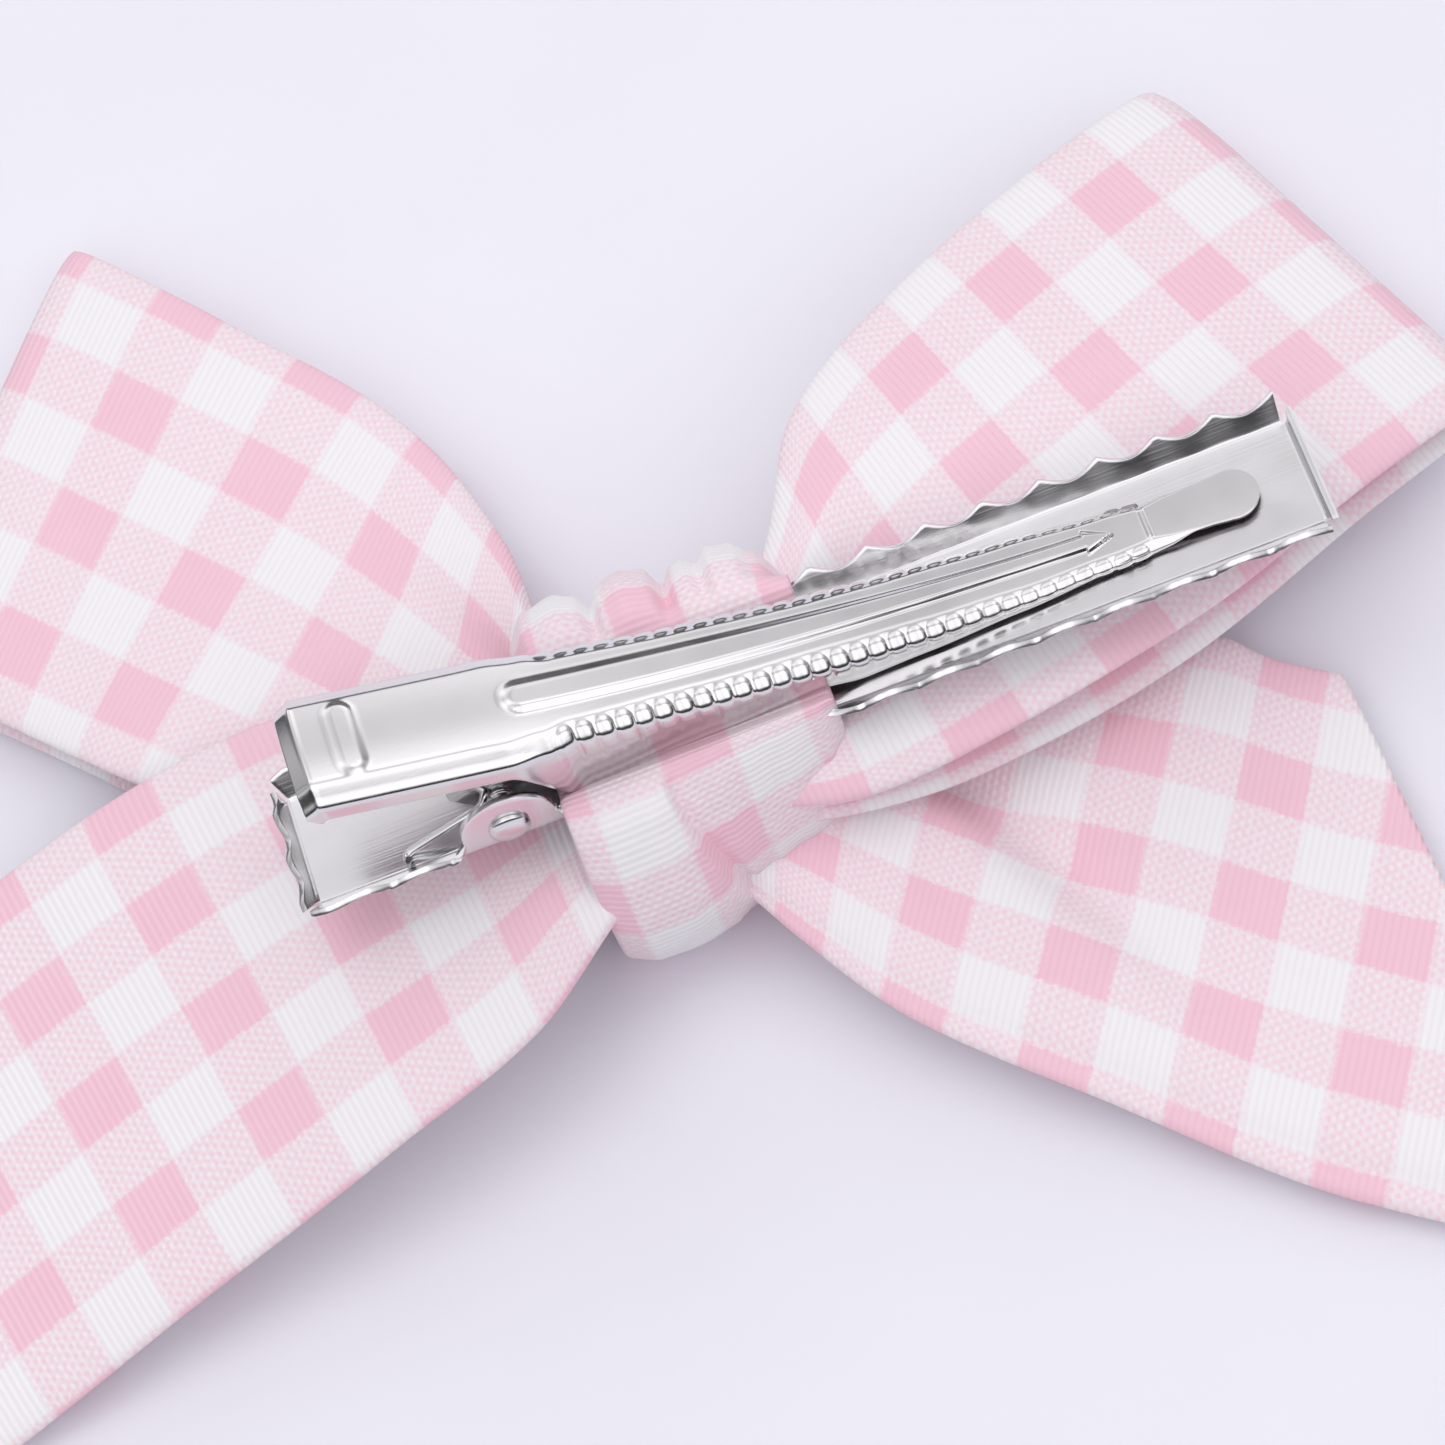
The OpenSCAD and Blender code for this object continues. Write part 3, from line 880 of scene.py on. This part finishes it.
def right_tail_strip():
    stations = [
        [29.2, -0.5, 5.0, -12, 9.0, 1.2], [36.0, -3.0, 4.9, -26, 13.2, 1.2],
        [44.0, -9.6, 4.2, -32, 16.2, 1.1],
        [55, -18.0, 3.2, -32, 18.2, 1.1], [64, -26, 2.4, -31, 18.9, 1.1], [73.5, -33.2, 1.6, -30, 19, 1.1]]
    return Strip(stations, 110, tail_crease, -13.0, 0.85)


def make_bow():
    """The four strips, each with the print's (repeat, phase) across and along it."""
    for node, strip, printed in (
        ("right_loop", right_loop_strip(), ((10.3, 0.83), (11.0, 0.49))),
        ("left_tail", left_tail_strip(), ((9.6, 0.19), (11.4, 0.78))),
        ("left_loop", left_loop_strip(), ((10.7, 0.23), (12.4, 0.51))),
        ("right_tail", right_tail_strip(), ((9.4, 0.06), (10.6, 0.30))),
    ):
        cloth = gingham(node + "_gingham", *printed)
        piece = make_strip(node + "_cloth", strip, cloth, node)
        round(strip.long() * MM, 4)


# ---------------------------------------------------------------- gathering thread


def make_thread(material):
    """White thread wound five times round the gathered middle, inside the band."""
    points = []
    for i in range(5 * 48 + 1):
        a = 2 * pi * i / 48
        points.append(on_surface((26.6 + 0.8 * i / 48, 7.0 * cos(a), 7.9 + 5.6 * sin(a))))
    piece = new_piece("thread_turns", tube_mesh(points, 0.36), material, "base")
    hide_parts("gather_thread")
    return piece


# ---------------------------------------------------------------- knot band


BAND_X0, BAND_X1 = 18.9, 38.1
RIM = 0.5
BAND_CREST = 4.6
BAND_REACH = 12.0
# Once round the band in y and z: the tray, the near side, the underside and the far side.
BAND_LOOP = [(0, 16.5), (-3.3, 16.55), (-4.7, 17.7), (-6.2, 17.75), (-8.4, 16.2), (-10.6, 13.0), (-12, 9),
             (-11.4, 4.6), (-8.6, 1.5), (-4.5, 0.4), (0, 0.25), (4.5, 0.4), (9.6, 1.7), (12.8, 5.4),
             (13.9, 10.2), (12.7, 14.2), (10, 17.2), (7.2, 18.3), (4.9, 17.8), (3.3, 16.55)]
# How far the near side reaches at each x, and how much the far side stands out or in.
NEAR_REACH = [(18.4, 11.2), (20.8, 12.0), (24, 11.9), (26.3, 11.4), (28.5, 10.5), (31, 9.6), (33.5, 8.9),
              (36.8, 8.0), (38.6, 6.6)]
FAR_PUFF = [(18.4, -1.5), (20.0, 0.1), (22.3, 0.5), (23.7, 0.0), (24.6, -1.3), (25.6, 0.1), (27.2, 0.5),
            (29.0, 0.0), (30.0, -1.6), (31.0, -0.5), (31.9, -0.3), (32.7, -1.0), (33.8, -0.1), (35.2, -0.4),
            (36.6, -1.4), (38.6, -4.0)]


def from_table(table, x):
    """A smooth value between the rows of a table of (x, value)."""
    for (x0, v0), (x1, v1) in zip(table, table[1:]):
        if x <= x1:
            return v0 + (v1 - v0) * ease((x - x0) / (x1 - x0))
    return table[-1][1]


def band_at(b):
    """The plain band's (y, z) and its outward (y, z), b turns round it."""
    count = len(BAND_LOOP)
    k = (b % 1.0) * count
    i, t = int(k) % count, k - int(k)
    p = [BAND_LOOP[(i + d) % count] for d in (-1, 0, 1, 2)]
    spot, way = [], []
    for n in (0, 1):
        c1 = p[2][n] - p[0][n]
        c2 = 2 * p[0][n] - 5 * p[1][n] + 4 * p[2][n] - p[3][n]
        c3 = -p[0][n] + 3 * p[1][n] - 3 * p[2][n] + p[3][n]
        spot.append(0.5 * (2 * p[1][n] + c1 * t + c2 * t * t + c3 * t ** 3))
        way.append(0.5 * (c1 + 2 * c2 * t + 3 * c3 * t * t))
    size = sqrt(way[0] ** 2 + way[1] ** 2) or 1.0
    return spot, (way[1] / size, -way[0] / size)


def near_fold(x, z):
    """On the near side the left lobe is rolled over the right one along a slanting crease."""
    crease = 25.8 + 3.4 * (1 - min(1.0, max(0.0, (z - 4.0) / 13.0)))
    roll = 0.95 * (1 - between(x, crease - 0.3, crease + 0.12))
    groove = -0.45 * exp(-((x - crease - 0.35) / 0.35) ** 2)
    swell = 0.35 * sin(pi * min(1.0, max(0.0, (x - 18.6) / (crease - 18.6)))) ** 0.8
    swell += 0.4 * sin(pi * min(1.0, max(0.0, (x - crease) / (38.6 - crease)))) ** 0.8
    return roll + groove + swell - 0.55


def band_point(x, b, inward):
    (y, z), (ny, nz) = band_at(b)
    crest = exp(-((abs(y) - 5.4) / 1.3) ** 2) if z > 12 else 0.0
    outer = between(abs(y), 4.9, 8.0)
    lift = 0.0
    if y < 0:
        if -y > BAND_CREST:
            reach = from_table(NEAR_REACH, x) - BAND_CREST
            y = -(BAND_CREST + (-y - BAND_CREST) * reach / (BAND_REACH - BAND_CREST))
        lift = near_fold(x, z) * outer
    else:
        lift = from_table(FAR_PUFF, x) * outer
    lift += 0.07 * noise.noise(Vector((x * 0.5, b * 60, 3.0))) * outer
    depth = lift - inward * (1.0 - 0.55 * crest)
    return on_surface((x, y + ny * depth, z + nz * depth))


def band_columns():
    """Across the band: its outer face, a rolled rim, its inner face and the other rim."""
    outer = [(x, 0.0, x) for x in steps(BAND_X0, BAND_X1, 72)]
    rim = [(BAND_X1 + RIM * sin(radians(a)), (1 - cos(radians(a))) / 2, BAND_X1 + RIM * a / 90)
           for a in steps(0, 180, 6)[1:-1]]
    inner = [(x, 1.0, BAND_X1 + 2 * RIM + BAND_X1 - x) for x in steps(BAND_X1, BAND_X0, 24)]
    around = 2 * BAND_X1 - BAND_X0 + 2 * RIM
    last = [(BAND_X0 - RIM * sin(radians(a)), (1 + cos(radians(a))) / 2, around + RIM * a / 90)
            for a in steps(0, 180, 6)[1:]]
    return outer + rim + inner + last


def make_knot(material):
    """The folded band round the gathered middle and the lower jaw."""
    bm = bmesh.new()
    uv = bm.loops.layers.uv.new("cloth")
    columns, m = band_columns(), 220
    n = len(columns) - 1
    lengths = [0.0]
    for k in range(m):
        lengths.append(lengths[-1] + (band_point(24, (k + 1) / m, 0) - band_point(24, k / m, 0)).length)
    bmesh.ops.create_grid(bm, x_segments=n, y_segments=m, size=0.5)
    for face in bm.faces:
        for loop in face.loops:
            i, j = round((loop.vert.co.x + 0.5) * n), round((loop.vert.co.y + 0.5) * m)
            loop[uv].uv = (columns[i][2] * MM, lengths[j])
    for vert in bm.verts:
        i, j = round((vert.co.x + 0.5) * n), round((vert.co.y + 0.5) * m)
        vert.co = band_point(columns[i][0], j / m, columns[i][1])
    bmesh.ops.remove_doubles(bm, verts=bm.verts, dist=2e-6)
    bmesh.ops.recalc_face_normals(bm, faces=bm.faces)
    piece = new_piece("knot_wrap", bm, material, "base")
    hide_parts("knot_band")
    return piece


# ---------------------------------------------------------------- stage


def make_floor():
    material, nodes, links = new_material("pale_paper")
    shader = nodes["Principled BSDF"]
    coord = nodes.new("ShaderNodeTexCoord")
    grain = add_noise(nodes, links, coord.outputs["Object"], 40.0, 4.0)
    color = add_ramp(nodes, links, grain, [(0.3, (0.86, 0.855, 0.93)), (0.7, (0.88, 0.875, 0.945))])
    links.new(color, shader.inputs["Base Color"])
    shader.inputs["Roughness"].default_value = 0.9
    shader.inputs["Specular IOR Level"].default_value = 0.1
    bm = bmesh.new()
    bmesh.ops.create_grid(bm, x_segments=2, y_segments=2, size=1.5)
    bmesh.ops.translate(bm, verts=bm.verts, vec=(0, 0, -0.0002))
    floor = new_piece("floor", bm, material)


# Brightness round the room from the far horizon (0) over the top (90) to the near one (180).
LIGHT_BY_ANGLE = [(0, 0.10), (10, 0.2), (16, 0.4), (22, 2.1), (40, 1.8), (50, 1.35), (57, 1.25), (62, 1.3),
                  (70, 1.8), (78, 2.2), (90, 2.2), (99, 1.3), (110, 1.3), (120, 2.4), (146, 2.5),
                  (154, 0.4), (160, 0.05), (180, 0.03)]
# And from the left (-1) to the right (1).
LIGHT_BY_SIDE = [(-1, 0.4), (-0.8, 0.5), (-0.5, 0.7), (-0.33, 1.2), (-0.2, 1.15), (-0.05, 0.95), (0.15, 0.95),
                 (0.3, 0.78), (0.42, 1.2), (0.6, 1.15), (0.8, 0.5), (1, 0.3)]


def make_world():
    """Soft room light: bright bands high up, a paler gap between them and a dark near horizon."""
    world = bpy.data.worlds.new("studio")
    bpy.context.scene.world = world
    world.use_nodes = True
    nodes, links = world.node_tree.nodes, world.node_tree.links
    coord = nodes.new("ShaderNodeTexCoord")
    split = nodes.new("ShaderNodeSeparateXYZ")
    links.new(coord.outputs["Generated"], split.inputs["Vector"])
    angle = add_math(nodes, links, "ARCTAN2", split.outputs["Z"], split.outputs["Y"])
    share = add_math(nodes, links, "DIVIDE", angle, pi)
    bands = [(degrees / 180, (v, v * 0.99, v * 1.015)) for degrees, v in LIGHT_BY_ANGLE]
    light = add_ramp(nodes, links, share, bands)
    sideways = add_math(nodes, links, "MULTIPLY_ADD", split.outputs["X"], 0.5)
    sideways.node.inputs[2].default_value = 0.5
    windows = add_ramp(nodes, links, sideways, [((x + 1) / 2, grey(v)) for x, v in LIGHT_BY_SIDE])
    both = nodes.new("ShaderNodeMix")
    both.data_type = "RGBA"
    both.blend_type = "MULTIPLY"
    both.inputs["Factor"].default_value = 1.0
    wire_up(links, [(light, both.inputs["A"]), (windows, both.inputs["B"])])
    light = both.outputs["Result"]
    background = nodes["Background"]
    background.inputs["Strength"].default_value = 1.0
    links.new(light, background.inputs["Color"])


def soft_panel(name, place, aim, size, power):
    data = bpy.data.lights.new(name, "AREA")
    data.shape = "RECTANGLE"
    data.size, data.size_y = size
    data.energy = power
    panel = bpy.data.objects.new(name, data)
    panel.location = place
    panel.visible_glossy = False
    panel.rotation_euler = (Vector(aim) - Vector(place)).to_track_quat("-Z", "Y").to_euler()
    bpy.context.scene.collection.objects.link(panel)


def make_camera():
    data = bpy.data.cameras.new("camera")
    data.lens = 132.05
    data.sensor_width = 36.0
    data.clip_start = 0.01
    camera = bpy.data.objects.new("camera", data)
    camera.location = CLIP + Vector((40.586, -186.233, 318.091)) * MM
    camera.rotation_euler = (0.48857, 0.20086, -0.30576)
    bpy.context.scene.collection.objects.link(camera)
    bpy.context.scene.camera = camera


bpy.context.scene.view_settings.view_transform = "Standard"
bpy.context.scene.view_settings.exposure = -0.80
bright_nickel = plated_steel("bright_nickel", 0.17, 0.10)
satin_nickel = plated_steel("satin_nickel", 0.21, 0.35, (0.88, 0.87, 0.88))
# Nickel darkened far below the other plating, for the lever's inside faces: painted shade under the lever,
# which also darkens its reflection in the jaw floor.
shade_painted_nickel = plated_steel("shade_painted_nickel", 0.3, 0.2, (0.34, 0.31, 0.335))
spring_steel = plated_steel("spring_steel", 0.16, 0.3, (0.88, 0.88, 0.88))
make_camera()
make_world()
soft_panel("overhead", (-0.2, 0.08, 0.86), (0.01, 0, 0), (0.85, 0.85), 2.1)
make_floor()
make_lower_jaw(satin_nickel)
make_lever(bright_nickel, shade_painted_nickel)
make_hinge_tabs(bright_nickel)
make_pin(bright_nickel)
make_spring(spring_steel)
make_bow()
make_knot(gingham("knot_gingham", (10.5, 0.30), (10.5, 0.55)))
make_thread(twisted_thread("sewing_thread"))
